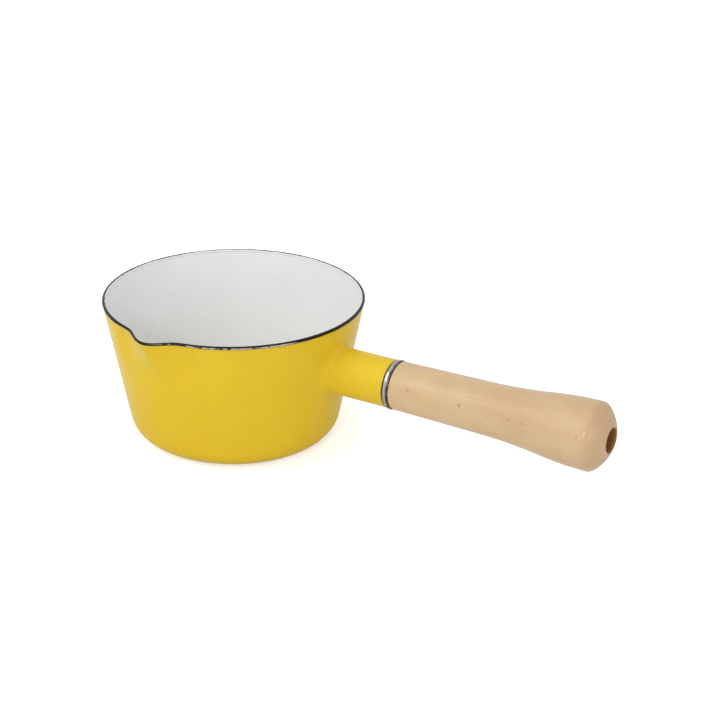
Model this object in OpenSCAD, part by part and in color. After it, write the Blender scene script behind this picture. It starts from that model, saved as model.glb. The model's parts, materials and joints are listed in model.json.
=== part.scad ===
// Enamelled pouring pan with a side spout and a bolted wooden handle.
// The base rests on z = 0 with its centre at the origin. The handle runs
// along +X and the spout is close to -Y, on the left of whoever holds the handle.

/* [Pan] */
// Diameter over the rim
rim_d = 160; // [130:1:200]
// Height from the resting face to the top of the rim
pan_h = 88; // [76:1:130]
// Angle by which the wall leans outwards
wall_lean = 11.1; // [6:0.1:15]
// Outside radius between wall and base
corner_r = 14.5; // [6:0.5:18]
// Thickness of the pressed steel with its yellow coat
steel_t = 1.2; // [0.8:0.1:2]
// Thickness of the white lining
lining_t = 0.4; // [0.2:0.05:0.8]
// How much wider the black bead is than the coated edge that it wraps
bead_spare = 0.6; // [0.4:0.1:1.5]
// How far the bead stands out past the wall
bead_proud = 0.15; // [0.05:0.05:0.4]

/* [Spout] */
// Angle by which the spout turns from square to the handle, seen from above
spout_turn = -3.4; // [-6:0.2:6]
// How far the lip stands out past the rim
spout_out = 7.4; // [5:0.2:9]
// Radius of the lip seen from above
spout_r = 18; // [16:0.5:22]
// Height over which the channel fades into the wall
spout_h = 28; // [22:1:34]

/* [Socket] */
// Distance from the top of the rim down to the handle's axis
axis_drop = 32; // [28:1:44]
// Outside diameter of the socket tube
socket_d = 29; // [24:0.5:35]
// Wall of the socket tube
socket_t = 1.3; // [0.8:0.1:2]
// Distance from the pan's rim to the mouth of the socket
socket_reach = 32.3; // [30:0.1:60]
// Leg of the weld between socket and wall
weld_leg = 1.8; // [1.4:0.1:3]

/* [Ring] */
// Width of the ring along the handle
ring_w = 4.2; // [2:0.1:8]
// How far the middle of the ring stands out past the socket
ring_crown = 0.5; // [0.2:0.1:1]

/* [Handle] */
// Length of the wood from its shoulder to the end
handle_len = 136; // [125:1:170]
// Length of the tenon, ring included
tenon_len = 18; // [14:0.5:20]
// How far the wood stands out past the socket at the ring, on the radius
neck_proud = 0.1; // [0:0.1:1]
// How much the wood's radius grows from the ring to the start of the swell
waist_growth = 0.9; // [0:0.1:2.5]
// How much the swell adds to that radius
swell_growth = 4.8; // [3:0.1:7]
// Distance from the shoulder to the start of the swell
waist_at = 58; // [50:1:80]
// Share of the swell that curves inwards
swell_share = 0.6; // [0.4:0.05:0.8]
// Radius of the turned edge at the end
end_edge_r = 7; // [3:0.5:9]
// Radius of the dome that closes the end
end_dome_r = 26; // [22:0.5:40]
// Chamfer at the wood's shoulder
shoulder_chamfer = 0.7; // [0.3:0.1:1.5]

/* [Handle bore] */
// Chamfer at the mouth of the open bore in the handle's end
bore_chamfer = 0.6; // [0.2:0.1:1.5]
// Depth of the narrower pocket that seats the washers and the bolt head
pocket_depth = 14; // [10:0.5:20]

/* [Fasteners] */
// Nominal diameter of the handle bolt
bolt_d = 6; // [4:0.5:8]
// Length of the bolt under its head
bolt_len = 100; // [90:1:104]
// Diameter of the bolt head
head_d = 10; // [9:0.5:12]
// Height of the bolt head
head_h = 6; // [4:0.5:8]
// Width across flats of the key recess
key_af = 5; // [3:0.5:6]
// Depth of the key recess
key_depth = 3; // [2:0.5:4]
// Width across flats of the nut
nut_af = 10; // [9:0.5:14]
// Height of the nut
nut_h = 5; // [3:0.5:7]
// Length of bolt that shows past the nut
bolt_past_nut = 1.3; // [0.5:0.1:3]
// Outside diameter of the flat washer
washer_d = 12; // [11:0.5:16]
// Thickness of each washer
washer_t = 1.6; // [1:0.1:2.5]
// How far the spring washer's rim lies inside the flat washer's
spring_washer_inset = 0.1; // [0:0.1:0.8]
// Width of the cut in the spring washer
spring_washer_cut = 1; // [0.6:0.1:2]
// Thickness of the anchor plate
plate_t = 2.5; // [1.5:0.1:4]

/* [Fits] */
// Gap round the tenon, on the radius
tenon_clear = 0.2; // [0.1:0.05:0.5]
// Gap between the tenon's end and the anchor plate
tenon_end_gap = 1; // [0.5:0.1:2]
// Gap round the bolt in the wood and the plate, on the radius
bolt_clear = 0.3; // [0.2:0.05:0.6]
// Gap round the bolt in the washers, on the radius
washer_clear = 0.2; // [0.1:0.05:0.4]
// Gap round the flat washer in its pocket, on the radius
pocket_clear = 0.5; // [0.2:0.1:1]
// Gap round the flat washer in the open bore, on the radius
bore_clear = 1; // [0.6:0.1:3]

/* [Hidden] */
$fn = 192;
// Facets round the thin bead
bead_fn = 48;
// Length by which a cut runs past the face it opens
past = 2;

rim_r = rim_d / 2;
bead_r = (steel_t + lining_t + bead_spare) / 2;
// The wall ends at the middle of the bead, which wraps its edge
edge_z = pan_h - bead_r;
wall_top_r = rim_r - bead_proud;
wall_slope = tan(wall_lean);
wall_base_r = wall_top_r - wall_slope * edge_z;
lining_out_t = steel_t;
lining_in_t = steel_t + lining_t;
// Centre of the rounded corner, shared by every layer of the wall
corner_x = wall_base_r - corner_r * (1 - sin(wall_lean)) / cos(wall_lean);

// Lip of the spout: a cone on a vertical axis that runs into the wall
lip_r = spout_r - bead_proud;
lip_y = rim_r + spout_out - spout_r;
fade_r = wall_r(edge_z - spout_h) - lip_y;
lip_slope = (lip_r - fade_r) / spout_h;
lip_lean = atan(lip_slope);

// How much fuller the bead is at its two corners, where the rim turns into the lip
corner_swell = 0.05;

// Path of the bead: round the rim, then round the lip
bead_path_r = rim_r - bead_r;
lip_path_r = spout_r - bead_r;
rim_break = acos((bead_path_r * bead_path_r + lip_y * lip_y - lip_path_r * lip_path_r)
                 / (2 * bead_path_r * lip_y));
lip_break = atan2(bead_path_r * sin(rim_break), bead_path_r * cos(rim_break) - lip_y);

socket_r = socket_d / 2;
socket_in_r = socket_r - socket_t;
socket_end = rim_r + socket_reach;
axis_z = pan_h - axis_drop;
joint_x = wall_r(axis_z);
// How far the socket and its weld start inside the wall, before the wall is cut away from them
joint_sink = socket_r;

// Stations along the handle's axis
wood_x = socket_end + ring_w;
tenon_x = wood_x - tenon_len;
plate_x = tenon_x - tenon_end_gap - plate_t;
nut_x = plate_x - nut_h;
bolt_x = nut_x - bolt_past_nut;
head_x = bolt_x + bolt_len;
seat_x = head_x - 2 * washer_t;
bore_x = seat_x + pocket_depth;

tenon_r = socket_in_r - tenon_clear;
neck_r = socket_r + neck_proud;
waist_r = neck_r + waist_growth;
swell_r = waist_r + swell_growth;
washer_r = washer_d / 2;
pocket_r = washer_r + pocket_clear;
bore_r = washer_r + bore_clear;
bolt_r = bolt_d / 2;
bolt_hole_r = bolt_r + bolt_clear;

// The wood's outline: a neck, an inward arc, an outward arc, an edge and a dome
dome_z = handle_len - end_dome_r;
swell_z = dome_z + sqrt(pow(end_dome_r - end_edge_r, 2) - pow(swell_r - end_edge_r, 2));
neck_lean = atan(waist_growth / waist_at);
// Sum of the two arcs' radii, which makes them tangent to each other and to the neck
swell_run = swell_z - waist_at;
arc_bend = 2 * swell_share * (1 - swell_share) * (1 - cos(neck_lean));
arc_lift = swell_growth * (1 - swell_share * (1 - cos(neck_lean)))
           - swell_run * swell_share * sin(neck_lean);
arc_reach = swell_run * swell_run + swell_growth * swell_growth;
arc_sum = arc_reach / (arc_lift + sqrt(arc_lift * arc_lift + arc_bend * arc_reach));
in_arc_r = arc_sum * swell_share;
out_arc_r = arc_sum - in_arc_r;
in_arc_at = [waist_r + in_arc_r * cos(neck_lean), waist_at - in_arc_r * sin(neck_lean)];
out_arc_at = [swell_r - out_arc_r, swell_z];
turn_at = in_arc_at + (out_arc_at - in_arc_at) * swell_share;
edge_at = [swell_r - end_edge_r, swell_z];
edge_meet_r = edge_at[0] * end_dome_r / (end_dome_r - end_edge_r);
mouth_z = dome_z + sqrt(end_dome_r * end_dome_r - bore_r * bore_r);

// Outside radius of the wall at a height
function wall_r(z) = wall_base_r + wall_slope * z;

// Puts its children on the handle's axis, x from the pan's axis, with +Z turned to +X
module along_handle(x) {
    translate([x, 0, axis_z]) rotate([0, 90, 0]) children();
}

// Half section of all that lies t or more inside the pan's outer surface, up to a height
module wall_section(t, top) {
    r = corner_r - t;
    meet = [corner_x + r * cos(wall_lean), corner_r - r * sin(wall_lean)];
    polygon([[0, t], [corner_x, t], meet, [wall_r(top) - t / cos(wall_lean), top], [0, top]]);
    translate([corner_x, corner_r]) circle(r = r);
}

// The channel of the spout as a cone on a vertical axis, t inside its outer surface
module spout_cone(t, top) {
    low = edge_z - spout_h - past;
    low_r = lip_r - t / cos(lip_lean) - lip_slope * (edge_z - low);
    rotate([0, 0, spout_turn]) translate([0, -lip_y, low])
        cylinder(h = top - low, r1 = low_r, r2 = low_r + lip_slope * (top - low));
}

// The pan as a full solid, t inside its outer surface, with the seam opposite the spout
module pan_solid(t, top) {
    rotate([0, 0, 90 + spout_turn]) rotate_extrude() wall_section(t, top);
    spout_cone(t, top);
}

module pan_shell() {
    color("gold") difference() {
        pan_solid(0, edge_z);
        pan_solid(lining_out_t, edge_z + past);
    }
}

module inner_lining() {
    color("white") difference() {
        pan_solid(lining_out_t, edge_z);
        pan_solid(lining_in_t, edge_z + past);
    }
}

// One stretch of the bead on a circle about a vertical axis, centred on an angle
module bead_arc(path_r, middle, spread) {
    rotate([0, 0, middle - spread / 2]) rotate_extrude(angle = spread)
        translate([path_r, 0]) circle(r = bead_r, $fn = bead_fn);
}

module rim_bead() {
    color([0.06, 0.06, 0.06]) difference() {
        translate([0, 0, edge_z]) rotate([0, 0, spout_turn]) {
            bead_arc(bead_path_r, 90, 360 - 2 * rim_break);
            translate([0, -lip_y, 0]) bead_arc(lip_path_r, -90, 2 * lip_break);
            for (side = [-1, 1]) rotate([0, 0, -90 + side * rim_break])
                translate([bead_path_r, 0, 0]) sphere(r = bead_r + corner_swell, $fn = bead_fn);
        }
        difference() {
            pan_solid(0, edge_z);
            pan_solid(lining_in_t, edge_z + past);
        }
    }
}

// The socket tube as a full bar, from inside the pan's wall to its mouth
module socket_bar(r) {
    along_handle(joint_x - joint_sink) cylinder(h = socket_end - joint_x + joint_sink, r = r);
}

module handle_socket() {
    color("gold") difference() {
        socket_bar(socket_r);
        along_handle(joint_x - joint_sink - past)
            cylinder(h = socket_end - joint_x + joint_sink + 2 * past, r = socket_in_r);
        pan_solid(0, edge_z);
    }
}

module socket_weld() {
    color("goldenrod") difference() {
        translate([joint_x, 0, axis_z]) rotate([0, 90 + wall_lean, 0]) translate([0, 0, -joint_sink / 2])
            cylinder(h = weld_leg + joint_sink / 2, r1 = socket_r + weld_leg + joint_sink / 2, r2 = socket_r);
        socket_bar(socket_r);
        pan_solid(0, edge_z);
    }
}

module anchor_plate() {
    color("silver") along_handle(plate_x) difference() {
        cylinder(h = plate_t, r = socket_in_r);
        translate([0, 0, -past]) cylinder(h = plate_t + 2 * past, r = bolt_hole_r);
    }
}

module anchor_nut() {
    color("silver") along_handle(nut_x) difference() {
        cylinder(h = nut_h, r = nut_af / 2 / cos(30), $fn = 6);
        translate([0, 0, -past]) cylinder(h = nut_h + 2 * past, r = bolt_r);
    }
}

module ferrule_ring() {
    crown_arc_r = (ring_w * ring_w / 4 + ring_crown * ring_crown) / (2 * ring_crown);
    color("lightgray") along_handle(socket_end) rotate_extrude() intersection() {
        translate([socket_in_r, 0]) square([socket_t + ring_crown, ring_w]);
        translate([socket_r + ring_crown - crown_arc_r, ring_w / 2]) circle(r = crown_arc_r);
    }
}

// Half section of the wood past its shoulder, radius across and length up
module wood_section() {
    difference() {
        polygon([[0, 0], [neck_r - shoulder_chamfer, 0],
                 [neck_r + shoulder_chamfer * tan(neck_lean), shoulder_chamfer],
                 [waist_r, waist_at], turn_at, [0, turn_at[1]]]);
        translate(in_arc_at) circle(r = in_arc_r);
    }
    intersection() {
        translate([0, turn_at[1]]) square([swell_r, swell_z - turn_at[1]]);
        translate(out_arc_at) circle(r = out_arc_r);
    }
    intersection() {
        translate([0, swell_z]) square([edge_meet_r, handle_len - swell_z]);
        translate([0, dome_z]) circle(r = end_dome_r);
    }
    translate(edge_at) circle(r = end_edge_r);
}

module wood_handle() {
    color("burlywood") difference() {
        union() {
            along_handle(wood_x) rotate_extrude() wood_section();
            along_handle(tenon_x) cylinder(h = tenon_len + past, r = tenon_r);
        }
        along_handle(tenon_x - past) cylinder(h = seat_x - tenon_x + 2 * past, r = bolt_hole_r);
        along_handle(seat_x) cylinder(h = pocket_depth + past, r = pocket_r);
        along_handle(bore_x) cylinder(h = wood_x + handle_len - bore_x, r = bore_r);
        along_handle(wood_x + mouth_z - bore_chamfer)
            cylinder(h = bore_chamfer + past, r1 = bore_r, r2 = bore_r + bore_chamfer + past);
    }
}

module handle_bolt() {
    color("silver") difference() {
        union() {
            along_handle(bolt_x) cylinder(h = bolt_len + head_h / 2, r = bolt_r);
            along_handle(head_x) cylinder(h = head_h, r = head_d / 2);
        }
        along_handle(head_x + head_h - key_depth)
            cylinder(h = key_depth + past, r = key_af / 2 / cos(30), $fn = 6);
    }
}

module spring_washer() {
    color("silver") along_handle(seat_x + washer_t) difference() {
        cylinder(h = washer_t, r = washer_r - spring_washer_inset);
        translate([0, 0, -past]) cylinder(h = washer_t + 2 * past, r = bolt_r + washer_clear);
        translate([0, -spring_washer_cut / 2, -past])
            cube([washer_d, spring_washer_cut, washer_t + 2 * past]);
    }
}

module flat_washer() {
    color("silver") along_handle(seat_x) difference() {
        cylinder(h = washer_t, r = washer_r);
        translate([0, 0, -past]) cylinder(h = washer_t + 2 * past, r = bolt_r + washer_clear);
    }
}

pan_shell();
inner_lining();
rim_bead();
handle_socket();
socket_weld();
anchor_plate();
anchor_nut();
ferrule_ring();
wood_handle();
handle_bolt();
spring_washer();
flat_washer();
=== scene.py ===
import json
import math

import bmesh
import bpy
from mathutils import Matrix, Vector


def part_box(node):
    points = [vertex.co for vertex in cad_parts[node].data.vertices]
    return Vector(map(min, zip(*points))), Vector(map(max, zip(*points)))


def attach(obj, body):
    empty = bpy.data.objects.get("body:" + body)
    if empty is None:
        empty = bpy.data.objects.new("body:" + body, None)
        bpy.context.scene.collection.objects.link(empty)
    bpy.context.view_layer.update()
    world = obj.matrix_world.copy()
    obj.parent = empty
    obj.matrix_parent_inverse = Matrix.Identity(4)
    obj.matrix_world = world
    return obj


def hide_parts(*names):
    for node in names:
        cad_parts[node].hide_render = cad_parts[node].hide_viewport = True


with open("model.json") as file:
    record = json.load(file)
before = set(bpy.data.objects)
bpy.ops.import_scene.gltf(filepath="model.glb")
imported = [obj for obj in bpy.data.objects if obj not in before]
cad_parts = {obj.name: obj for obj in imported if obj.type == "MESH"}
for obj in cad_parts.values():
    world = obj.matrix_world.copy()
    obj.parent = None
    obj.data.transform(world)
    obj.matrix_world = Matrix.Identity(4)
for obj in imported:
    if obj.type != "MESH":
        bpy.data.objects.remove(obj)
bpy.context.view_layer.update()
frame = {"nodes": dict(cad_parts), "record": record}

# An enamelled pouring pan with a pressed spout and a turned beech handle.
# It stands on z = 0, its axis at the origin. The handle runs along +X, the spout points close to -Y.

MM = 0.001

# ---------------------------------------------------------------- sizes, from the frame
_, rim_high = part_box("rim_bead")
socket_low, socket_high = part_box("handle_socket")
ring_low, ring_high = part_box("ferrule_ring")
wood_low, wood_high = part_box("wood_handle")
washer_low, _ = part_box("flat_washer")
bore = next(m for m in frame["record"]["mounts"] if m["name"] == "handle_bore")

# The frame's bead is this much fuller at the lip's two corners than round the rim
CORNER_SWELL = 0.05 * MM

rim_r = rim_high.y
rim_top = rim_high.z - CORNER_SWELL
axis_z = (socket_low.z + socket_high.z) / 2
socket_r = (socket_high.z - socket_low.z) / 2
socket_end = socket_high.x
ring_r = (ring_high.z - ring_low.z) / 2
ring_end = ring_high.x
tenon_start = wood_low.x
wood_end = wood_high.x
swell_r = (wood_high.z - wood_low.z) / 2
seat_x = washer_low.x
bore_r = bore["dims"]["r_mm"] * MM

# ---------------------------------------------------------------- sizes of the finished pan
WALL_LEAN = math.radians(11.1)
CORNER_R = 14.5 * MM
STEEL_T = 1.2 * MM
LINING_T = 0.4 * MM
EDGE_R = 1.08 * MM
EDGE_PROUD = 0.15 * MM
# The opening left at the axis until the section has been pressed and rounded
POLE_R = 10 * MM
PAN_STEPS = 180

edge_z = rim_top - EDGE_R
wall_slope = math.tan(WALL_LEAN)
wall_base_r = rim_r - EDGE_PROUD - wall_slope * edge_z
corner_x = wall_base_r - CORNER_R * (1 - math.sin(WALL_LEAN)) / math.cos(WALL_LEAN)


def wall_r(z):
    """Outside radius of the wall at a height."""
    return wall_base_r + wall_slope * z


# ---------------------------------------------------------------- modelling helpers
def arc(centre, radius, start, end, count):
    """Points on a circular arc between two angles, as (distance from the axis, place along it)."""
    points = []
    for i in range(count + 1):
        angle = math.radians(start + (end - start) * i / count)
        points.append((centre[0] + radius * math.cos(angle), centre[1] + radius * math.sin(angle)))
    return points


def line(start, end, count):
    """Points on a straight line, with both ends."""
    return [(start[0] + (end[0] - start[0]) * i / count, start[1] + (end[1] - start[1]) * i / count)
            for i in range(count + 1)]


def select_points(mesh, wanted):
    """In edit mode, selects the vertices that pass a test."""
    work = bmesh.from_edit_mesh(mesh)
    work.verts.ensure_lookup_table()
    for point in work.verts:
        point.select_set(wanted(point))
    work.select_flush_mode()
    bmesh.update_edit_mesh(mesh)


def turned(name, rings, steps, along="Z", centre=(0, 0, 0), joined=True):
    """A turned piece: a circle, extruded and scaled through rings of (radius, place along the axis).

    Where joined is true, the last ring is bridged to the first, which closes the piece.
    """
    axis = Vector((0, 0, 1)) if along == "Z" else Vector((1, 0, 0))
    centre = Vector(centre)
    turn = (0, 0, 0) if along == "Z" else (0, math.pi / 2, 0)
    bpy.ops.object.select_all(action="DESELECT")
    bpy.ops.mesh.primitive_circle_add(vertices=steps, radius=rings[0][0], rotation=turn,
                                      location=centre + axis * rings[0][1])
    piece = bpy.context.object
    piece.name = name
    bpy.ops.object.transform_apply(location=True, rotation=True, scale=True)
    bpy.ops.object.mode_set(mode="EDIT")
    bpy.ops.mesh.select_all(action="SELECT")
    for before, after in zip(rings, rings[1:]):
        step = axis * (after[1] - before[1])
        bpy.ops.mesh.extrude_region_move(TRANSFORM_OT_translate={"value": step})
        growth = after[0] / before[0]
        bpy.ops.transform.resize(value=(growth, growth, 1) if along == "Z" else (1, growth, growth),
                                 center_override=centre + axis * after[1])
    if joined:
        last = (len(rings) - 1) * steps
        select_points(piece.data, lambda point: point.index < steps or point.index >= last)
        bpy.ops.mesh.bridge_edge_loops()
    bpy.ops.mesh.select_all(action="SELECT")
    bpy.ops.mesh.normals_make_consistent(inside=False)
    bpy.ops.object.mode_set(mode="OBJECT")
    return piece


def close_poles(piece):
    """Caps the two round openings at the pan's axis with fans of triangles."""
    bpy.ops.object.select_all(action="DESELECT")
    bpy.context.view_layer.objects.active = piece
    bpy.ops.object.mode_set(mode="EDIT")
    bpy.ops.mesh.select_all(action="SELECT")
    bpy.ops.mesh.fill_holes(sides=0)
    bpy.ops.mesh.select_face_by_sides(number=4, type="GREATER", extend=False)
    bpy.ops.mesh.poke()
    bpy.ops.mesh.select_all(action="SELECT")
    bpy.ops.mesh.normals_make_consistent(inside=False)
    bpy.ops.object.mode_set(mode="OBJECT")


def apply_modifier(piece, kind, **settings):
    """Adds a modifier, sets it up and applies it."""
    bpy.ops.object.select_all(action="DESELECT")
    piece.select_set(True)
    bpy.context.view_layer.objects.active = piece
    modifier = piece.modifiers.new(kind.lower(), kind)
    for name, value in settings.items():
        setattr(modifier, name, value)
    bpy.ops.object.modifier_apply(modifier=modifier.name)


def push(piece, direction, distance, share):
    """Moves a piece's points along X, Y or Z, each by its own share, from 0 to 1, of a distance."""
    group = piece.vertex_groups.new(name="push")
    for point in piece.data.vertices:
        group.add([point.index], share(point.co), "REPLACE")
    apply_modifier(piece, "DISPLACE", direction=direction, strength=distance, mid_level=0,
                   vertex_group=group.name)
    piece.vertex_groups.clear()


def smooth(piece, levels=0, angle=40):
    """Rounds a piece with subdivision and shades it smooth up to an angle between faces."""
    if levels:
        apply_modifier(piece, "SUBSURF", levels=levels, render_levels=levels)
    bpy.ops.object.select_all(action="DESELECT")
    piece.select_set(True)
    bpy.context.view_layer.objects.active = piece
    bpy.ops.object.shade_smooth_by_angle(angle=math.radians(angle))


def finish_piece(piece, material, slot, *nodes):
    """Gives a piece its finish and its place in the object."""
    piece.data.materials.clear()
    piece.data.materials.append(material)
    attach(piece, "root")
    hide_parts(*nodes)


# ---------------------------------------------------------------- shader helpers
class Signal:
    """A shader value that takes Python's operators. Each one adds a Math node."""

    def __init__(self, finish, socket):
        self.finish = finish
        self.socket = socket

    def maths(self, operation, first, second=0.0):
        return self.finish.node("ShaderNodeMath", {0: first, 1: second}, operation=operation)

    def __add__(self, other):
        return self.maths("ADD", self, other)

    def __sub__(self, other):
        return self.maths("SUBTRACT", self, other)

    def __rsub__(self, other):
        return self.maths("SUBTRACT", other, self)

    def __mul__(self, other):
        return self.maths("MULTIPLY", self, other)

    def __truediv__(self, other):
        return self.maths("DIVIDE", self, other)

    def __pow__(self, other):
        return self.maths("POWER", self, other)

    def __abs__(self):
        return self.maths("ABSOLUTE", self)

    __radd__ = __add__


class Finish:
    """A material or world under construction."""

    def __init__(self, name, world=False):
        self.data = (bpy.data.worlds if world else bpy.data.materials).new(name)
        self.data.use_nodes = True
        self.tree = self.data.node_tree
        self.tree.nodes.clear()

    def node(self, kind, inputs=None, output=0, **settings):
        """Adds a node, sets it up, then fills its sockets, and gives one output, if it has any."""
        made = self.tree.nodes.new(kind)
        for name, value in settings.items():
            setattr(made, name, value)
        for name, value in (inputs or {}).items():
            if isinstance(value, Signal):
                self.tree.links.new(value.socket, made.inputs[name])
            else:
                made.inputs[name].default_value = value
        return Signal(self, made.outputs[output]) if made.outputs else None

    def place(self, scale=(1, 1, 1), turn=(0, 0, 0), shift=(0, 0, 0)):
        """Object coordinates, stretched, turned and shifted."""
        place = self.node("ShaderNodeTexCoord", output="Object")
        return self.node("ShaderNodeMapping", {"Vector": place, "Scale": scale, "Rotation": turn,
                                               "Location": shift})

    def noise(self, place, scale, detail=3.0, roughness=0.5):
        return self.node("ShaderNodeTexNoise", {"Vector": place, "Scale": scale, "Detail": detail,
                                                "Roughness": roughness})

    def cells(self, place, scale, output="Distance"):
        return self.node("ShaderNodeTexVoronoi", {"Vector": place, "Scale": scale}, output=output)

    def span(self, value, low, high, new_low=0.0, new_high=1.0):
        """A smooth step of a value from one range into another, held at its ends."""
        return self.node("ShaderNodeMapRange", {0: value, 1: low, 2: high, 3: new_low, 4: new_high},
                         interpolation_type="SMOOTHSTEP")

    def axes(self, place):
        """The x, y and z of a vector."""
        split = self.node("ShaderNodeSeparateXYZ", {"Vector": place})
        return [Signal(self, out) for out in split.socket.node.outputs]

    def mix(self, factor, first, second):
        """A blend of two colours."""
        return self.node("ShaderNodeMix", {0: factor, 6: first, 7: second}, output=2, data_type="RGBA")

    def bump(self, height, distance, under=None):
        """A bump of a height in metres, on top of another one where it is given."""
        inputs = {"Height": height, "Distance": distance}
        if under is not None:
            inputs["Normal"] = under
        return self.node("ShaderNodeBump", inputs)

    def surface(self, inputs):
        """Closes the material with a Principled shader."""
        shader = self.node("ShaderNodeBsdfPrincipled", inputs)
        self.node("ShaderNodeOutputMaterial", {"Surface": shader})
        return self.data


def rgb(red, green, blue):
    """A colour in linear values, opaque."""
    return (red, green, blue, 1.0)


# ---------------------------------------------------------------- colours
SOOT = rgb(0.03, 0.025, 0.02)
YELLOW = rgb(0.780, 0.556, 0.034)
YELLOW_WARM = rgb(0.752, 0.526, 0.027)
YELLOW_DEEP = rgb(0.730, 0.488, 0.024)
YELLOW_THIN = rgb(0.40, 0.24, 0.015)
YELLOW_FOOT = rgb(0.42, 0.27, 0.03)
WORN_FOOT = rgb(0.20, 0.16, 0.10)
FIRING_MARK = rgb(0.05, 0.04, 0.03)
WHITE = rgb(0.846, 0.846, 0.840)
WHITE_DULL = rgb(0.826, 0.826, 0.818)
CREAM = rgb(0.795, 0.787, 0.760)
# Painted warm shade, low inside the lining
WARM_SHADE_BEIGE = rgb(0.70, 0.68, 0.60)
BLACK = rgb(0.008, 0.006, 0.005)
BLACK_BROWN = rgb(0.020, 0.016, 0.012)
# Painted highlight along the front of the black edge
GLINT_GREY = rgb(0.600, 0.575, 0.530)
WOOD_PALE = rgb(0.672, 0.480, 0.268)
WOOD_TAN = rgb(0.600, 0.410, 0.222)
LATE_WOOD = rgb(0.500, 0.315, 0.150)
PORE = rgb(0.410, 0.245, 0.115)
RAY_FLECK = rgb(0.330, 0.185, 0.080)
KNOT = rgb(0.330, 0.150, 0.055)
END_GRAIN = rgb(0.500, 0.300, 0.165)
END_PORE = rgb(0.30, 0.16, 0.07)
# Painted shade inside the handle's bore and on its mouth
BORE_SHADE_BROWN = rgb(0.290, 0.115, 0.030)
BRIGHT_STEEL = rgb(0.46, 0.43, 0.42)
STEEL_BLOTCH = rgb(0.40, 0.37, 0.36)
# Painted dark reflection along the ring's two edges
PAINTED_DARK_REFLECTION = rgb(0.075, 0.065, 0.06)
ZINC = rgb(0.52, 0.53, 0.55)
ZINC_GREY = rgb(0.40, 0.40, 0.41)
ZINC_SPECK = rgb(0.16, 0.15, 0.14)
FLOOR_WHITE = rgb(0.88, 0.88, 0.88)
FLOOR_DULL = rgb(0.86, 0.86, 0.86)
LIGHT_WHITE = rgb(1, 1, 1)

# ---------------------------------------------------------------- finishes
ENAMEL_IOR = 1.5
LACQUER_IOR = 1.47
ENAMEL_ROUGH = 0.24
EDGE_ROUGH = 0.10
CONTACT_RING_R = 44 * MM
FIRING_MARKS_R = 31 * MM
FIRING_MARK_TURNS = (15, 135, 255)
# Heights between which the painted warm shade inside the lining fades out
SHADE_LOW = 12 * MM
SHADE_HIGH = 58 * MM
# Where the painted highlight lies on the black edge, in degrees from -Y toward +X
GLINT_TURN = 34
YEAR_WIDTH = 2.3 * MM
PITH_ASIDE = 46 * MM
PITH_BELOW = 88 * MM
# Each knot: mm along the handle, degrees up from its -Y side, radius in mm, strength of its colour
PIN_KNOTS = (
    (13.2, 21.9, 1.0, 0.50),
    (46.9, 18.6, 1.3, 0.55),
    (78.6, 17.1, 1.0, 0.40),
    (87.7, 17.1, 1.2, 0.35),
    (121.5, 19.5, 1.4, 0.30),
    (31.0, 140.0, 1.2, 0.45),
    (96.0, 215.0, 1.3, 0.40),
    (64.0, 290.0, 1.0, 0.40),
)


def fired_enamel(make, colour, rough, peel=1.0):
    """What every fired coat shares: pinholes, soft unevenness of the gloss, ripples, fine scratches."""
    place = make.place()
    drift = make.noise(place, 16, 2)
    grain = make.noise(place, 140, 4)
    pits = make.span(make.cells(place, 95), 0.0, 0.055, 1, 0)
    rare = make.span(make.noise(make.place(shift=(3, 1, 7)), 60, 1), 0.56, 0.62)
    pits = pits * rare
    scratch_place = make.place(scale=(1, 1, 9), turn=(0.35, 0.2, 0.4))
    scratches = make.span(make.noise(scratch_place, 210, 2), 0.66, 0.74)
    colour = make.mix(pits * 0.75, colour, SOOT)
    rough = rough + (drift - 0.5) * 0.08 + (grain - 0.5) * 0.05 + scratches * 0.10 + pits * 0.25
    ripple = make.bump(make.noise(place, 52, 1), 0.20 * MM * peel)
    peeled = make.bump(make.noise(place, 430, 2), 0.03 * MM * peel, under=ripple)
    normal = make.bump(pits, -0.10 * MM, under=peeled)
    return colour, rough, normal


def yellow_enamel():
    """The pan's outer coat, with the wear that its foot and underside get."""
    make = Finish("yellow enamel")
    x, y, z = make.axes(make.place())
    broad = make.span(make.noise(make.place(), 11, 3), 0.3, 0.7)
    fine = make.span(make.noise(make.place(), 75, 5, 0.6), 0.3, 0.7)
    colour = make.mix(broad, YELLOW, YELLOW_WARM)
    colour = make.mix(fine * 0.35, colour, YELLOW_DEEP)
    # The coat is thinner and browner just under the black edge and round the foot
    under_edge = make.span(z, rim_top - 4.5 * MM, rim_top - 1.5 * MM)
    foot = make.span(z, 0.2 * MM, 3.5 * MM, 1, 0)
    uneven = make.span(make.noise(make.place(), 120, 3), 0.35, 0.65)
    colour = make.mix(under_edge * uneven * 0.22, colour, YELLOW_THIN)
    colour = make.mix(foot * (0.08 + uneven * 0.20), colour, YELLOW_FOOT)
    # Rubbed contact ring and the three firing marks under the base
    across = (x ** 2 + y ** 2) ** 0.5
    under = make.span(z, 0.05 * MM, 0.25 * MM, 1, 0)
    ring = make.span(abs(across - CONTACT_RING_R), 1.0 * MM, 3.5 * MM, 1, 0) * under
    worn = ring * make.span(make.noise(make.place(), 260, 4), 0.42, 0.62)
    colour = make.mix(worn * 0.6, colour, WORN_FOOT)
    for turn in FIRING_MARK_TURNS:
        mark_x = FIRING_MARKS_R * math.cos(math.radians(turn))
        mark_y = FIRING_MARKS_R * math.sin(math.radians(turn))
        away = ((x - mark_x) ** 2 + (y - mark_y) ** 2) ** 0.5
        mark = make.span(away, 0.8 * MM, 1.6 * MM, 1, 0) * under
        colour = make.mix(mark, colour, FIRING_MARK)
    colour, rough, normal = fired_enamel(make, colour, ENAMEL_ROUGH)
    return make.surface({"Base Color": colour, "Roughness": rough + worn * 0.35, "Normal": normal,
                         "IOR": ENAMEL_IOR, "Specular IOR Level": 0.08})


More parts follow.
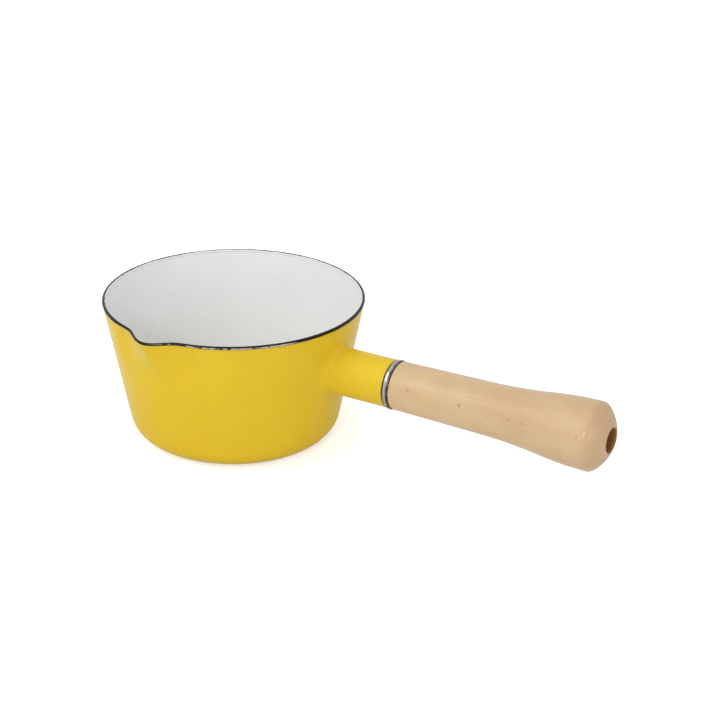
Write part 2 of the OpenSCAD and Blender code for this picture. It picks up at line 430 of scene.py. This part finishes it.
def white_colour(make):
    """The milky white of the lining, a little creamier in patches."""
    cloud = make.span(make.noise(make.place(), 22, 4), 0.3, 0.7)
    patches = make.span(make.noise(make.place(), 170, 4), 0.55, 0.75)
    return make.mix(patches * 0.3, make.mix(cloud, WHITE, WHITE_DULL), CREAM)


def white_enamel():
    """The lining, with painted warm shade low down, in patches, and fine stirring rubs."""
    make = Finish("white enamel")
    z = make.axes(make.place())[2]
    colour = white_colour(make)
    # Painted shade: a patchy warm beige shadow, full below the low height and gone above the high one,
    # and a little rougher
    shade_patches = make.span(make.noise(make.place(), 26, 4), 0.32, 0.66)
    painted_shade = make.span(z, SHADE_LOW, SHADE_HIGH, 1, 0) * shade_patches
    colour = make.mix(painted_shade * 0.35, colour, WARM_SHADE_BEIGE)
    rubs = make.span(make.noise(make.place(scale=(1, 1, 14)), 40, 4), 0.52, 0.68)
    colour, rough, normal = fired_enamel(make, colour, ENAMEL_ROUGH)
    return make.surface({"Base Color": colour, "Roughness": rough + rubs * 0.02 + painted_shade * 0.05,
                         "Normal": normal, "IOR": ENAMEL_IOR, "Specular IOR Level": 0.25})


def black_enamel():
    """Black over the edge, with a painted grey highlight in front, running out into the white inside.
    """
    make = Finish("black enamel")
    inward = make.node("ShaderNodeAttribute", output="Fac", attribute_name="inward")
    close = (make.noise(make.place(), 260, 4) - 0.5) * 0.55
    wander = close + (make.noise(make.place(), 45, 2) - 0.5) * 0.5
    white = make.span(inward + wander, 0.54, 0.72)
    tone = make.span(make.noise(make.place(), 120, 4), 0.3, 0.7)
    black = make.mix(tone, BLACK, BLACK_BROWN)
    # The painted highlight: a grey line outside, toward the front, just under the bead's middle, and
    # broken up
    x, y, z = make.axes(make.place())
    glint_angle = math.radians(GLINT_TURN)
    toward = (x * math.sin(glint_angle) - y * math.cos(glint_angle)) / rim_r
    height = (z - edge_z) / EDGE_R + wander * 0.6
    painted_glint = make.span(inward, -0.9, -0.5, 1, 0) * make.span(toward, 0.875, 0.93)
    painted_glint = painted_glint * make.span(abs(height + 0.10), 0.22, 0.55, 1, 0)
    painted_glint = painted_glint * make.span(make.noise(make.place(), 150, 3, 0.7), 0.38, 0.55)
    black = make.mix(painted_glint * 0.85, black, GLINT_GREY)
    colour = make.mix(white, black, white_colour(make))
    colour, rough, normal = fired_enamel(make, colour, EDGE_ROUGH, peel=1.6)
    return make.surface({"Base Color": colour, "Roughness": rough, "Normal": normal,
                         "IOR": ENAMEL_IOR, "Specular IOR Level": 0.13})


def beech():
    """Turned beech under satin lacquer: growth rings along the handle, pores, flecks, end grain."""
    make = Finish("beech")
    x, y, z = make.axes(make.place())
    above = z - axis_z
    # Growth rings, round a pith that lies outside the handle
    wavy = make.noise(make.place(scale=(0.25, 1, 1)), 60, 2) - 0.5
    pith_y = y - PITH_ASIDE
    pith_z = z - (axis_z - PITH_BELOW)
    from_pith = (pith_y ** 2 + pith_z ** 2) ** 0.5 + wavy * 2.2 * MM
    years = make.node("ShaderNodeMath", {0: from_pith / YEAR_WIDTH}, operation="FRACT")
    late_wood = make.span(years, 0.45, 0.95) * make.span(years, 0.96, 1.0, 1, 0)
    broad = make.span(make.noise(make.place(scale=(0.4, 1, 1)), 48, 4), 0.35, 0.65)
    colour = make.mix(broad, WOOD_PALE, WOOD_TAN)
    colour = make.mix(late_wood * 0.11, colour, LATE_WOOD)
    # Pores run with the grain as fine dashes
    pores = make.span(make.noise(make.place(scale=(0.05, 1, 1)), 1500, 3, 0.6), 0.50, 0.72)
    colour = make.mix(pores * 0.17, colour, PORE)
    # Flecks of the rays, short and dark on this cut
    ray_place = make.place(scale=(0.35, 1, 1), shift=(0.2, 0.1, 0.3))
    rays = make.span(make.cells(ray_place, 620), 0.05, 0.20, 1, 0)
    ray_gate = make.span(make.noise(ray_place, 190, 2), 0.50, 0.62)
    colour = make.mix(rays * ray_gate * 0.45, colour, RAY_FLECK)
    # A few pin knots with ragged outlines
    ragged = (make.noise(make.place(), 900, 3) - 0.5) * 1.4 * MM
    for along, turn, size, depth in PIN_KNOTS:
        up_share = math.sin(math.radians(turn))
        out_share = math.cos(math.radians(turn))
        side = y * up_share + above * out_share
        outward = above * up_share - y * out_share
        away = ((x - (ring_end + along * MM)) ** 2 + (side * 0.7) ** 2) ** 0.5 + ragged
        knot = make.span(away, size * 0.3 * MM, size * MM, 1, 0)
        facing = make.span(outward, 5 * MM, 6 * MM)
        colour = make.mix(knot * facing * depth, colour, KNOT)
    # End grain drinks more lacquer, and the bore is dark inside: painted shade, in a reddish brown
    across = (y ** 2 + above ** 2) ** 0.5
    end_grain = make.span(x, wood_end - 15 * MM, wood_end - 3 * MM)
    end_pores = make.span(make.cells(make.place(scale=(0.05, 1, 1)), 1900), 0.0, 0.35, 1, 0)
    colour = make.mix(end_grain * 0.5, colour, END_GRAIN)
    colour = make.mix(end_grain * end_pores * 0.3, colour, END_PORE)
    # Painted shade: the bore's wall and mouth mixed almost fully to a dark reddish brown, and made
    # rougher
    inside = make.span(across, bore_r + 0.2 * MM, bore_r + 0.9 * MM, 1, 0)
    colour = make.mix(inside * 0.92, colour, BORE_SHADE_BROWN)
    rough = 0.25 + pores * 0.10 + (broad - 0.5) * 0.08 + end_grain * 0.08 + inside * 0.5
    lathe = make.bump(make.noise(make.place(scale=(1, 0.06, 0.06)), 900, 2), 0.03 * MM)
    grain = make.bump(1 - pores * 0.8 - rays * ray_gate * 0.6, 0.05 * MM, under=lathe)
    return make.surface({"Base Color": colour, "Roughness": rough, "Normal": grain,
                         "IOR": LACQUER_IOR, "Specular IOR Level": 0.45})


def polished_steel():
    """The ring: bright, drawn round its axis, with painted dark reflections along both edges, which are
    also rougher.
    """
    make = Finish("polished steel")
    x = make.axes(make.place())[0]
    middle = (socket_end + ring_end) / 2
    # Painted reflection: both edges darkened toward near black, as dark surroundings would show in
    # polished steel
    edge = make.span(abs(x - middle), 0.40 * MM, 1.05 * MM)
    blotch = make.span(make.noise(make.place(), 260, 4), 0.4, 0.7)
    lines = make.noise(make.place(scale=(1, 0.03, 0.03)), 5200, 3)
    colour = make.mix(edge, BRIGHT_STEEL, PAINTED_DARK_REFLECTION)
    colour = make.mix(blotch * 0.35, colour, STEEL_BLOTCH)
    rough = 0.13 + lines * 0.12 + blotch * 0.08 + edge * 0.12
    normal = make.bump(lines, 0.02 * MM)
    return make.surface({"Base Color": colour, "Roughness": rough, "Metallic": 1.0,
                         "Normal": normal})


def plain_steel():
    """Zinc-plated fasteners and the mild steel plate: satin, faintly blue, with darker specks."""
    make = Finish("plain steel")
    cloud = make.span(make.noise(make.place(), 300, 4), 0.35, 0.7)
    specks = make.span(make.cells(make.place(), 900), 0.05, 0.2, 1, 0)
    colour = make.mix(cloud, ZINC, ZINC_GREY)
    colour = make.mix(specks * 0.4, colour, ZINC_SPECK)
    rough = 0.34 + cloud * 0.16 + specks * 0.1
    normal = make.bump(make.noise(make.place(), 1400, 3), 0.03 * MM)
    return make.surface({"Base Color": colour, "Roughness": rough, "Metallic": 1.0,
                         "Normal": normal})


# ---------------------------------------------------------------- the pan
SPOUT_OUT = 7.4 * MM
SPOUT_TURN = -3.4
SPOUT_DEPTH = 28 * MM
SPOUT_SPREAD = 14.5
SPREAD_AT_FOOT = 0.4
BULGE_POWER = 1.2
SPOUT_CLEAR = 2 * MM
LIP_DIP = 1.0 * MM
# The hollow beside the spout: how deep, how far round from the spout, its half width, its height
PINCH_IN = 2.6 * MM
PINCH_TURN = 17.0
PINCH_SPREAD = 9.0
PINCH_DEPTH = 36 * MM
PINCH_POWER = 0.6
# The bead's section runs from under the edge, round the outside, to the inside, in degrees
BEAD_FROM = -90
BEAD_TO = 246


def from_spout(place):
    """How far round the axis a point lies from the spout's middle, in degrees."""
    return abs(math.degrees(math.atan2(place.x, -place.y)) - SPOUT_TURN)


def spout_bulge(place, power=BULGE_POWER):
    """How much of the spout's push a point takes: full at the lip's middle, none past its flanks."""
    depth = rim_top - place.z
    fade = max(0.0, 1 - depth / SPOUT_DEPTH)
    spread = SPOUT_SPREAD * (SPREAD_AT_FOOT + (1 - SPREAD_AT_FOOT) * fade)
    turn = from_spout(place)
    if fade <= 0 or turn >= spread:
        return 0.0
    return min(1.0, fade ** power) * math.cos(math.pi / 2 * turn / spread) ** 2


def spout_pinch(place):
    """How much a point shares in the shallow hollow that pressing leaves on each side of the spout."""
    depth = (rim_top - place.z) / PINCH_DEPTH
    aside = abs(from_spout(place) - PINCH_TURN) / PINCH_SPREAD
    if not 0 < depth < 1 or aside >= 1:
        return 0.0
    return math.sin(math.pi * depth ** PINCH_POWER) ** 2 * math.cos(math.pi / 2 * aside) ** 2


def press_spout(piece):
    """Presses the pouring channel and its dipped lip into a layer of the pan."""
    push(piece, "Y", -SPOUT_OUT * math.cos(math.radians(SPOUT_TURN)), spout_bulge)
    push(piece, "X", SPOUT_OUT * math.sin(math.radians(SPOUT_TURN)), spout_bulge)
    push(piece, "Z", -LIP_DIP, lambda place: spout_bulge(place, 1.0))
    push(piece, "Y", PINCH_IN, spout_pinch)


def pan_side(inset):
    """Half section of the pan, some way inside its outer surface, from near the axis to the edge."""
    radius = CORNER_R - inset
    corner = arc((corner_x, CORNER_R), radius, -90, -math.degrees(WALL_LEAN), 9)
    spout_foot = rim_top - SPOUT_DEPTH - SPOUT_CLEAR
    side = inset / math.cos(WALL_LEAN)
    low = line(corner[-1], (wall_r(spout_foot) - side, spout_foot), 10)
    high = line(low[-1], (wall_r(edge_z) - side, edge_z), 14)
    return line((POLE_R, inset), (corner_x, inset), 4)[:-1] + corner + low[1:] + high[1:]


def pan_layer(name, outer, inner):
    """One layer of the pan's wall as a closed shell between two insets."""
    piece = turned(name, pan_side(outer) + pan_side(inner)[::-1], PAN_STEPS, joined=False)
    press_spout(piece)
    smooth(piece, levels=1)
    close_poles(piece)
    return piece


def pan_edge():
    """The glassy bead that wraps the steel's edge, with a measure of how far inward each point lies."""
    centre = (rim_r - EDGE_R, edge_z)
    piece = turned("black_rim", arc(centre, EDGE_R, BEAD_FROM, BEAD_TO, 14), PAN_STEPS)
    inward = piece.data.attributes.new("inward", "FLOAT", "POINT")
    for point in piece.data.vertices:
        across = math.hypot(point.co.x, point.co.y)
        inward.data[point.index].value = (centre[0] - across) / EDGE_R
    press_spout(piece)
    smooth(piece, levels=1)
    return piece


yellow = yellow_enamel()
finish_piece(pan_layer("yellow_shell", 0, STEEL_T), yellow, "yellow_enamel", "pan_shell")
finish_piece(pan_layer("white_lining", STEEL_T, STEEL_T + LINING_T), white_enamel(), "white_enamel",
             "inner_lining")
finish_piece(pan_edge(), black_enamel(), "black_enamel", "rim_bead")

# ---------------------------------------------------------------- the socket
SOCKET_T = 1.3 * MM
ROOT_R = 5.0 * MM
ROOT_SINK = 0.4 * MM
ROOT_SPARE = 1 * MM
ROOT_BITE = 0.02 * MM
SOCKET_EDGE_R = 0.35 * MM
# The part of the socket's length, from its root, that follows the wall in full
FOLLOW_TO = 0.12
SOCKET_STEPS = 120


def wall_x(place):
    """Where the pan's outer wall lies, along X, behind a point beside it."""
    across = wall_r(place.z)
    return math.sqrt(across * across - place.y * place.y)


def socket_sleeve():
    """The socket tube with its coated weld: a sleeve whose root flares onto the curved wall."""
    far_x = wall_r(axis_z + socket_r + ROOT_R)
    reach = socket_end - far_x
    flare = [(socket_r + ROOT_R + ROOT_SPARE, -ROOT_SINK)]
    flare += [(socket_r + ROOT_R * (1 - math.sin(math.radians(a))),
               ROOT_R * (1 - math.cos(math.radians(a))) - ROOT_BITE) for a in range(4, 91, 8)]
    tube = line((socket_r, ROOT_R), (socket_r, reach - SOCKET_EDGE_R), 12)[1:]
    mouth = arc((socket_r - SOCKET_EDGE_R, reach - SOCKET_EDGE_R), SOCKET_EDGE_R, 20, 90, 4)
    inside = line((socket_r - SOCKET_T, reach), (socket_r - SOCKET_T, -ROOT_SINK), 12)
    rings = [(r, far_x + h) for r, h in flare + tube + mouth + inside]
    piece = turned("socket_sleeve", rings, SOCKET_STEPS, along="X", centre=(0, 0, axis_z))
    low_r = wall_r(axis_z - socket_r - ROOT_R - ROOT_SPARE)
    drop = far_x - math.sqrt(low_r ** 2 - (socket_r + ROOT_R) ** 2) + ROOT_SPARE

    def follow(place):
        """A point's share of the drop onto the wall: all of it at the root, none at the mouth."""
        along = (place.x - far_x) / reach
        hold = min(1.0, max(0.0, 1 - (along - FOLLOW_TO) / (1 - FOLLOW_TO)))
        return max(0.0, (far_x - wall_x(place)) / drop) * hold

    push(piece, "X", -drop, follow)
    smooth(piece)
    return piece


finish_piece(socket_sleeve(), yellow, "yellow_enamel", "handle_socket", "socket_weld")

# ---------------------------------------------------------------- the ring and the handle
RING_STEPS = 128
RING_GAP = 0.25 * MM
# How far under the socket's surface the ring's flat faces end and its crown begins
RING_FACE = 0.5 * MM
RING_FOOT = 0.45 * MM
RING_FULLNESS = 0.55
RING_ARC_STEPS = 12
TENON_R = 13.0 * MM
TENON_CHAMFER = 0.6 * MM
NECK_R = 14.6 * MM
WAIST_R = 15.5 * MM
WAIST_AT = 58 * MM
SHOULDER_ROUND = 0.9 * MM
SWELL_SHARE = 0.6
END_EDGE_R = 5 * MM
END_DOME_R = 26 * MM
HANDLE_LENGTH = 136 * MM
BORE_MOUTH = 0.8 * MM
POCKET_R = 6.5 * MM
POCKET_DEPTH = 14 * MM
BOLT_HOLE_R = 3.3 * MM


def ferrule():
    """A half-round ring that closes the socket's mouth."""
    inner = socket_r - SOCKET_T
    width = ring_end - socket_end - RING_GAP
    crown = ring_r - socket_r
    start = socket_end
    rings = [(inner, start), (socket_r - RING_FACE, start)]
    for i in range(1, RING_ARC_STEPS):
        angle = math.pi * i / RING_ARC_STEPS
        rings.append((socket_r - RING_FOOT + (crown + RING_FOOT) * math.sin(angle) ** RING_FULLNESS,
                      start + width * (1 - math.cos(angle)) / 2))
    rings += [(socket_r - RING_FACE, start + width), (inner, start + width)]
    piece = turned("polished_ring", rings, RING_STEPS, along="X", centre=(0, 0, axis_z))
    smooth(piece)
    return piece


def swell_outline():
    """The wood past its waist: a hollow arc, a full one, a rounded edge and the domed end."""
    dome_at = HANDLE_LENGTH - END_DOME_R
    edge_r = swell_r - END_EDGE_R
    swell_at = dome_at + math.sqrt((END_DOME_R - END_EDGE_R) ** 2 - edge_r ** 2)
    lean = math.atan((WAIST_R - NECK_R) / WAIST_AT)
    run = swell_at - WAIST_AT
    rise = swell_r - WAIST_R
    bend = 2 * SWELL_SHARE * (1 - SWELL_SHARE) * (1 - math.cos(lean))
    lift = rise * (1 - SWELL_SHARE * (1 - math.cos(lean))) - run * SWELL_SHARE * math.sin(lean)
    reach = run * run + rise * rise
    both = reach / (lift + math.sqrt(lift * lift + bend * reach))
    in_r = both * SWELL_SHARE
    out_r = both - in_r
    in_at = (WAIST_R + in_r * math.cos(lean), WAIST_AT - in_r * math.sin(lean))
    out_at = (swell_r - out_r, swell_at)
    turn = math.degrees(math.atan2(out_at[1] - in_at[1], out_at[0] - in_at[0]))
    inward = arc(in_at, in_r, 180 - math.degrees(lean), turn % 360, 12)
    outward = arc(out_at, out_r, turn % 360 - 180, 0, 12)
    dome_from = math.degrees(math.atan2(swell_at - dome_at, edge_r))
    edge = arc((edge_r, swell_at), END_EDGE_R, 0, dome_from, 10)
    mouth_r = bore_r + BORE_MOUTH
    dome_to = math.degrees(math.acos(mouth_r / END_DOME_R))
    dome = arc((0, dome_at), END_DOME_R, dome_from, dome_to, 8)
    return inward[1:] + outward[1:] + edge[1:] + dome[1:]


def turned_handle():
    """The beech handle with its tenon, shoulder, swell, end bore, pocket and bolt hole."""
    start = ring_end
    shoulder = arc((NECK_R - SHOULDER_ROUND, SHOULDER_ROUND), SHOULDER_ROUND, -90, 0, 5)
    neck = line((NECK_R, SHOULDER_ROUND), (WAIST_R, WAIST_AT), 12)
    swell = swell_outline()
    mouth_top = swell[-1]
    mouth = [(bore_r + BORE_MOUTH * 0.35, mouth_top[1] - BORE_MOUTH * 0.3),
             (bore_r, mouth_top[1] - BORE_MOUTH)]
    pocket_x = seat_x - start + POCKET_DEPTH
    tenon_x = tenon_start - start
    outline = [(TENON_R - TENON_CHAMFER, tenon_x), (TENON_R, tenon_x + TENON_CHAMFER), (TENON_R, 0)]
    outline += shoulder + neck[1:] + swell + mouth
    outline += line((bore_r, mouth_top[1] - 2 * BORE_MOUTH), (bore_r, pocket_x), 6)
    outline += [(POCKET_R, pocket_x), (POCKET_R, seat_x - start), (BOLT_HOLE_R, seat_x - start),
                (BOLT_HOLE_R, tenon_x)]
    rings = [(r, start + h) for r, h in outline]
    piece = turned("turned_handle", rings, RING_STEPS, along="X", centre=(0, 0, axis_z))
    smooth(piece, angle=35)
    return piece


finish_piece(ferrule(), polished_steel(), "polished_steel", "ferrule_ring")
finish_piece(turned_handle(), beech(), "beech", "wood_handle")

# ---------------------------------------------------------------- hidden steel, straight from the frame
steel = plain_steel()
for name in ("anchor_plate", "anchor_nut", "handle_bolt", "spring_washer", "flat_washer"):
    node = frame["nodes"][name]
    if not node.material_slots:
        node.data.materials.append(steel)
    for holder in node.material_slots:
        holder.material = steel

# ---------------------------------------------------------------- floor, world and lamps
AMBIENT = 0.67
FLOOR_LIFT = 0.54
FLOOR_LIFT_MIRRORED = 0.1
FLOOR_SIZE = 12.0
FLOOR_DROP = 0.3 * MM
# Each lamp: metres across, toward the viewer and up from the pan, side of its square in metres, watts
LAMPS = {
    "front": (-0.36, 1.25, 0.66, 0.18, 3.2),
    "side": (-1.00, 0.50, 1.10, 1.00, 4.9),
    "top": (0.0, 0.0, 1.30, 0.26, 1.8),
    "right": (0.85, 0.85, 0.25, 0.30, 1.2),
}


def seen_rays(make, direct, mirrored):
    """One strength for what is seen straight or through glass, one for reflections, 0 as a light."""
    rays = make.node("ShaderNodeLightPath").socket.node.outputs
    straight = Signal(make, rays["Is Camera Ray"]) + Signal(make, rays["Is Transmission Ray"])
    return straight * direct + Signal(make, rays["Is Glossy Ray"]) * mirrored


def studio_world():
    """Plain white to the eye and in reflections, dimmer as a light."""
    make = Finish("studio", world=True)
    level = AMBIENT + seen_rays(make, 1 - AMBIENT, 1 - AMBIENT)
    sky = make.node("ShaderNodeBackground", {"Color": LIGHT_WHITE, "Strength": level})
    make.node("ShaderNodeOutputWorld", {"Surface": sky})
    bpy.context.scene.world = make.data


def studio_floor():
    """A white floor that keeps the shadow and is lifted to white where nothing shades it."""
    make = Finish("white floor")
    cloud = make.noise(make.place(), 3, 2)
    colour = make.mix(cloud, FLOOR_DULL, FLOOR_WHITE)
    matte = make.node("ShaderNodeBsdfDiffuse", {"Color": colour})
    glow = seen_rays(make, FLOOR_LIFT, FLOOR_LIFT_MIRRORED)
    lift = make.node("ShaderNodeEmission", {"Color": LIGHT_WHITE, "Strength": glow})
    both = make.node("ShaderNodeAddShader", {0: matte, 1: lift})
    make.node("ShaderNodeOutputMaterial", {"Surface": both})
    bpy.ops.object.select_all(action="DESELECT")
    bpy.ops.mesh.primitive_plane_add(size=FLOOR_SIZE, location=(0, 0, -FLOOR_DROP))
    floor = bpy.context.object
    floor.name = "floor"
    bpy.ops.object.transform_apply(location=True, rotation=True, scale=True)
    floor.data.materials.append(make.data)


# ---------------------------------------------------------------- camera
VIEW_TURN = math.radians(30.316)
VIEW_RISE = math.radians(24.143)
VIEW_ROLL = math.radians(0.859)
VIEW_DISTANCE = 1.117339
VIEW_TARGET = Vector((0.065335, 0.041451, 0.044386))
LENS = 90
SENSOR = 36
FAR_CLIP = 100

back = Vector((math.sin(VIEW_TURN) * math.cos(VIEW_RISE), -math.cos(VIEW_TURN) * math.cos(VIEW_RISE),
               math.sin(VIEW_RISE)))
right = Vector((math.cos(VIEW_TURN), math.sin(VIEW_TURN), 0))
up = back.cross(right)


def lamp(name, across, forward, height, size, watts):
    """A square softbox, placed as the viewer sees it, across and toward them, and aimed at the pan."""
    light = bpy.data.lights.new(name, "AREA")
    light.size = size
    light.energy = watts
    holder = bpy.data.objects.new(name, light)
    bpy.context.scene.collection.objects.link(holder)
    level_back = Vector((back.x, back.y, 0)).normalized()
    holder.location = VIEW_TARGET + right * across + level_back * forward + Vector((0, 0, height))
    holder.rotation_euler = (holder.location - VIEW_TARGET).to_track_quat("Z", "Y").to_euler()


def camera():
    """Sets up the camera."""
    lens = bpy.data.cameras.new("camera")
    lens.lens = LENS
    lens.sensor_width = SENSOR
    lens.clip_end = FAR_CLIP
    holder = bpy.data.objects.new("camera", lens)
    bpy.context.scene.collection.objects.link(holder)
    local_x = right * math.cos(VIEW_ROLL) + up * math.sin(VIEW_ROLL)
    local_y = up * math.cos(VIEW_ROLL) - right * math.sin(VIEW_ROLL)
    turn = Matrix((local_x, local_y, back)).transposed()
    holder.matrix_world = Matrix.Translation(VIEW_TARGET + back * VIEW_DISTANCE) @ turn.to_4x4()
    bpy.context.scene.camera = holder


camera()
studio_world()
studio_floor()
for name, settings in LAMPS.items():
    lamp(name, *settings)
bpy.context.scene.view_settings.view_transform = "Standard"
